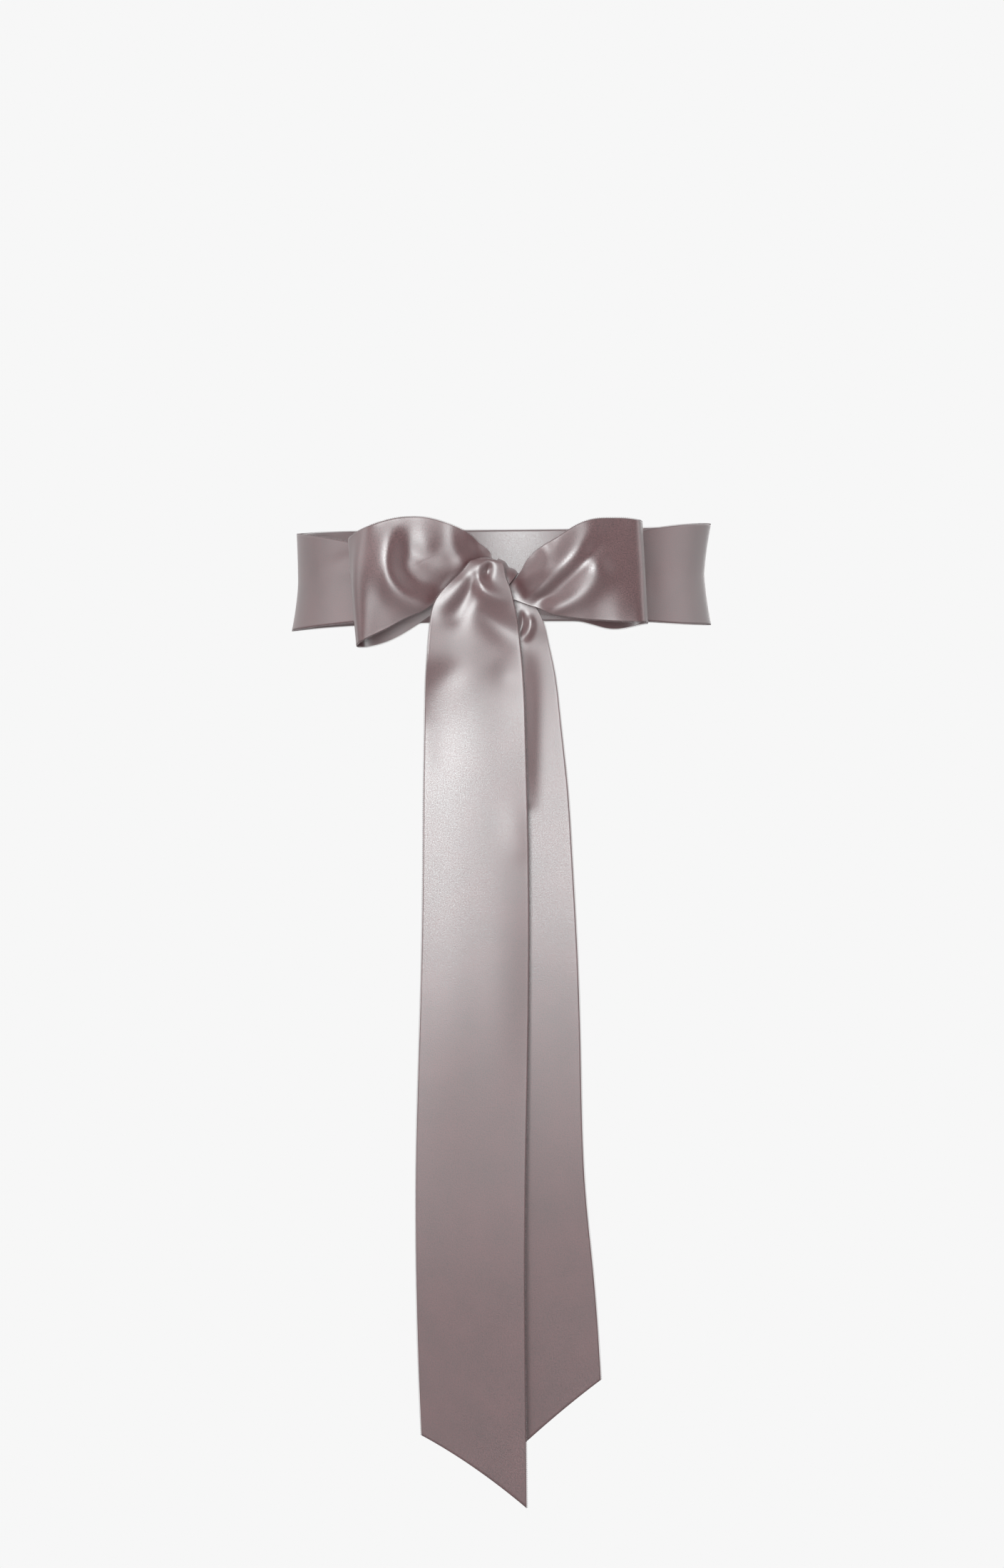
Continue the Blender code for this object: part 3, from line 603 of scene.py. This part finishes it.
# Knot: centre + run along the axis + (half height cos(turn), half depth sin(turn)) with the folds added.
# Both ends open by flare (2 share - 1) squared.
def knotSheet(piece):
    turn = np.linspace(0, 2 * np.pi, piece["steps"][0], endpoint=False)[:, None]
    share = np.linspace(0, 1, piece["steps"][1] + 1)[None, :]
    fold = np.zeros((piece["steps"][0], piece["steps"][1] + 1))
    for place, height, width, slant in piece["folds"]:
        off = (share - place - slant * np.cos(turn)) * 2 * piece["halfLength"]
        fold = fold + height * np.exp(-(off / width)**2)
    flare = 1 + piece["flare"] * (2 * share - 1)**2
    up = ((piece["halfHeight"] - piece["foldRoom"]) * flare + fold) * np.cos(turn)
    deep = ((piece["halfDepth"] - piece["foldRoom"]) * flare + fold) * np.sin(turn)
    run = (2 * share - 1) * piece["halfLength"] + 0 * turn
    slope = math.radians(piece["slant"])
    axis = np.array([math.cos(slope), 0, -math.sin(slope)])
    upward = np.array([math.sin(slope), 0, math.cos(slope)])
    forward = np.array([0, -1, 0])
    along = run[..., None] * axis + up[..., None] * upward
    return np.array(piece["centre"]) + along + deep[..., None] * forward


dress("knotWrap", knotSheet(knotWrap), "sash_knot",
      ring=True, edges=False)

# Front tail. Rows: left edge X Y Z, right edge X Y Z, puff at a quarter, half and three quarters of the
# width, from the top of the knot to the cut. Creases as on the loops.
frontTail = {
    "cut": (0.057, 0.505),
    "steps": (420, 72),
    "out": -1,
    "gatheredAt": "start",
    "frontEnds": 900.0,     # past the cut, as a tail is one layer
    "cutBow": 2.1,          # how far the cut's middle stands above its ends' line
    "sections": (
        (-13.8, -109.3, 2.4, -4.6, -108.9, 3.1, 0.0, 0.0, 0.0),
        (-15.2, -111.6, 3.8, -1.4, -110.4, 3.6, 1.1, 1.5, 0.9),
        (-20.0, -112.8, -1.0, 1.5, -111.0, -3.0, 1.1, 1.5, 1.2),
        (-26.5, -114.3, -7.5, 4.0, -111.0, -10.0, 0.8, 1.4, 1.1),
        (-34.4, -115.6, -16.5, 6.0, -110.8, -17.5, 0.4, 0.9, 0.8),
        (-37.2, -116.6, -26.0, 8.0, -109.9, -26.0, -0.1, 0.1, -0.1),
        (-38.4, -118.6, -38.0, 9.8, -109.5, -38.0, -0.7, -0.5, -0.4),
        (-39.8, -116.0, -58.0, 11.4, -109.5, -58.0, 0.1, 0.2, -0.1),
        (-40.6, -111.8, -80.0, 12.2, -109.6, -80.0, 1.0, 1.4, 0.6),
        (-41.0, -111.4, -104.0, 12.8, -109.7, -104.0, 1.5, 1.8, 1.0),
        (-41.4, -112.6, -160.0, 14.0, -109.9, -160.0, 1.5, 1.8, 1.3),
        (-42.6, -113.0, -225.0, 14.0, -109.8, -225.0, 1.6, 1.9, 1.6),
        (-45.0, -111.4, -310.0, 12.6, -109.9, -310.0, 0.5, 0.6, 0.5),
        (-45.0, -110.0, -370.0, 12.0, -108.8, -376.0, 0.2, 0.2, 0.2),
        (-44.0, -108.4, -416.0, 12.4, -107.2, -432.0, 0.0, 0.0, 0.0),
        (-42.4, -107.0, -457.0, 13.0, -105.6, -496.0, 0.0, 0.0, 0.0),
    ),
    "creases": (
        (-10.6, 3.0, -11.6, -9.4, 0.6, -16.8, 0.8, 2.4, 0.6, 2.4, 4.6),
        (-5.2, 3.0, -7.3, -1.8, -9.0, -6.0, -0.9, -2.6, -0.8, 2.0, 2.8),
        (-14.0, 1.0, -20.4, -8.6, -32.0, -20.0, 1.0, 1.8, 1.2, 2.6, 6.0),
        (-12.8, -1.0, -17.6, -12.5, -25.0, -26.0, -0.4, -2.6, -1.8, 2.6, 6.0),
        (-10.0, -23.0, -1.0, -31.5, 11.0, -38.5, -1.4, -2.7, -2.3, 5.6, 9.5),
        (-4.0, -46.0, 4.0, -52.0, 14.0, -55.0, -0.6, -1.6, -1.8, 14.0, 14.0),
        (-26.0, -54.0, -34.0, -62.0, -41.0, -74.0, -0.7, -1.2, -0.5, 7.0, 12.0),
        (-40.0, -76.0, -42.0, -92.0, -41.0, -112.0, -0.5, -1.2, -0.2, 9.0, 9.0),
        (-0.5, -57.0, 0.5, -57.2, 1.5, -57.4, -0.45, -0.45, -0.45, 5.5, 5.5),
        (5.4, -128.7, 7.0, -137.2, 9.3, -148.1, 0.2, 0.5, 0.4, 7.1, 7.4),
    ),
}
dress("frontTail", ribbonSheet(frontTail), "sash_tail_front")

# Rear tail, with the same columns.
rearTail = {
    "cut": (0.057, 0.470),
    "steps": (380, 64),
    "out": -1,
    "gatheredAt": "start",
    "frontEnds": 900.0,
    "cutBow": 1.6,
    "sections": (
        (3.6, -101.9, -14.0, 10.4, -101.9, -13.4, 0.1, 0.2, 0.1),
        (4.4, -102.0, -18.8, 15.8, -101.8, -18.0, 0.4, 0.6, 0.4),
        (1.0, -102.3, -27.0, 21.4, -101.6, -27.0, 0.6, 0.9, 0.6),
        (-4.0, -103.0, -38.0, 24.4, -100.2, -38.0, 0.4, 0.5, 0.2),
        (-9.6, -104.8, -54.0, 27.8, -99.6, -54.0, 0.4, 0.4, 0.0),
        (-16.5, -105.8, -80.0, 31.0, -100.8, -80.0, 0.3, 0.3, 0.0),
        (-21.0, -105.8, -114.0, 34.6, -102.8, -114.0, 0.2, 0.2, 0.1),
        (-20.0, -105.9, -151.0, 37.0, -104.4, -151.0, 0.0, 0.0, 0.0),
        (-17.5, -105.9, -197.0, 39.5, -105.5, -197.0, 0.0, 0.0, 0.0),
        (-15.0, -105.3, -257.0, 41.5, -104.9, -257.0, 0.0, 0.0, 0.0),
        (-13.0, -103.7, -330.0, 43.8, -103.4, -326.0, 0.0, 0.0, 0.0),
        (-9.0, -102.1, -386.0, 48.2, -102.1, -372.0, 0.0, 0.0, 0.0),
        (-5.0, -99.5, -480.0, 52.4, -100.5, -430.0, 0.0, 0.0, 0.0),
    ),
    "creases": (
        (14.0, -24.0, 15.0, -31.0, 11.0, -38.0, 0.6, 1.8, 0.6, 1.8, 2.4),
        (10.0, -22.0, 11.0, -29.0, 8.0, -36.0, -0.6, -2.0, -0.6, 1.8, 2.4),
        (10.5, -48.0, 10.8, -80.0, 13.0, -124.0, 1.4, 4.2, 0.8, 6.6, 4.6),
    ),
}
dress("rearTail", ribbonSheet(rearTail), "sash_tail_rear")

# Floor, room and lights.
studio = {
    "floorDepth": -1.05,    # metres, as all sizes in here
    "floorHalf": 9.0,
    "floorTone": 0.34,
    "floorRoughness": 0.9,
    "backdrop": 0.93,
    "roomDark": 0.03,       # brightness behind the camera
    "roomPale": 0.90,       # brightness of the far side
    "roomFrom": -1.0,       # direction's Y where the dark ends
    "roomTo": 0.5,          # direction's Y where the pale starts
    # Softboxes: name, place, aim, width, height, power, colour.
    "softboxes": (
        ("keySoftbox", (-0.25, -1.75, 0.20), (-0.05, -0.1, 0.0), 0.9, 1.3, 37.0, (1.0, 1.0, 1.0)),
        ("leftFill", (-1.7, -0.3, 0.2), (0, 0, -0.1), 1.2, 1.4, 6.0, (1.0, 1.0, 1.0)),
        ("rightFill", (1.8, 0.1, 0.2), (0, 0, -0.1), 1.0, 1.4, 4.6, (1.0, 0.86, 0.87)),
        ("farSoftbox", (0.42, 1.75, 0.35), (0, 0, 0), 0.75, 1.1, 6.0, (1.0, 1.0, 1.0)),
    ),
}
half, depth = studio["floorHalf"], studio["floorDepth"]
mesh = bpy.data.meshes.new("studioFloor")
mesh.from_pydata([(-half, -half, depth), (half, -half, depth), (half, half, depth), (-half, half, depth)],
                 [], [(0, 1, 2, 3)])
floorMaterial = bpy.data.materials.new("paleFloor")
floorMaterial.use_nodes = True
nodes, links = floorMaterial.node_tree.nodes, floorMaterial.node_tree.links
shader = nodes["Principled BSDF"]
shader.inputs["Base Color"].default_value = (studio["floorTone"],) * 3 + (1,)
shader.inputs["Roughness"].default_value = studio["floorRoughness"]
paper = nodes.new("ShaderNodeEmission")        # the floor as the camera sees it, as pale as the backdrop
paper.inputs["Color"].default_value = (studio["backdrop"],) * 3 + (1,)
seen = nodes.new("ShaderNodeLightPath")
either = nodes.new("ShaderNodeMixShader")
links.new(seen.outputs["Is Camera Ray"], either.inputs["Fac"])
links.new(shader.outputs["BSDF"], either.inputs[1])
links.new(paper.outputs["Emission"], either.inputs[2])
links.new(either.outputs["Shader"], nodes["Material Output"].inputs["Surface"])
mesh.materials.append(floorMaterial)
floor = bpy.data.objects.new("studioFloor", mesh)
bpy.context.scene.collection.objects.link(floor)

world = bpy.data.worlds.new("studioRoom")
bpy.context.scene.world = world
world.use_nodes = True
nodes, links = world.node_tree.nodes, world.node_tree.links
room = nodes["Background"]
room.inputs["Strength"].default_value = 1.0
where = nodes.new("ShaderNodeTexCoord")
split = nodes.new("ShaderNodeSeparateXYZ")
links.new(where.outputs["Generated"], split.inputs["Vector"])
ramp = nodes.new("ShaderNodeMapRange")        # darker towards the camera's side of the room
ramp.inputs["From Min"].default_value = studio["roomFrom"]
ramp.inputs["From Max"].default_value = studio["roomTo"]
ramp.inputs["To Min"].default_value = studio["roomDark"]
ramp.inputs["To Max"].default_value = studio["roomPale"]
links.new(split.outputs["Y"], ramp.inputs["Value"])
seen = nodes.new("ShaderNodeLightPath")
choose = nodes.new("ShaderNodeMix")
choose.data_type = "FLOAT"
links.new(seen.outputs["Is Camera Ray"], choose.inputs["Factor"])
links.new(ramp.outputs["Result"], choose.inputs["A"])
choose.inputs["B"].default_value = studio["backdrop"]
links.new(choose.outputs["Result"], room.inputs["Color"])


# A flat rectangular lamp at its place, turned so that its face looks at the aim.
def softbox(name, place, aim, width, height, power, colour):
    light = bpy.data.lights.new(name, "AREA")
    light.shape = "RECTANGLE"
    light.size = width
    light.size_y = height
    light.energy = power
    light.color = colour
    lamp = bpy.data.objects.new(name, light)
    lamp.location = place
    lamp.rotation_euler = (Vector(aim) - Vector(place)).to_track_quat("-Z", "Y").to_euler()
    bpy.context.scene.collection.objects.link(lamp)


for row in studio["softboxes"]:
    softbox(*row)

# Camera, a little below the bow's loops, set back as the photograph's perspective shows.
lens = {
    "distance": 1.18,
    "height": -0.060,
    "focal": 46.735,        # mm
    "sensor": 36.0,         # mm
    "shiftDown": 0.065,     # share of the frame's longer side
}
cameraData = bpy.data.cameras.new("photoCamera")
cameraData.lens = lens["focal"]
cameraData.sensor_width = lens["sensor"]
cameraData.shift_y = -lens["shiftDown"]
camera = bpy.data.objects.new("photoCamera", cameraData)
camera.location = (0, -lens["distance"], lens["height"])
camera.rotation_euler = (math.radians(90), 0, 0)
bpy.context.scene.collection.objects.link(camera)
bpy.context.scene.camera = camera
bpy.context.scene.view_settings.view_transform = "Standard"
print("studio made")
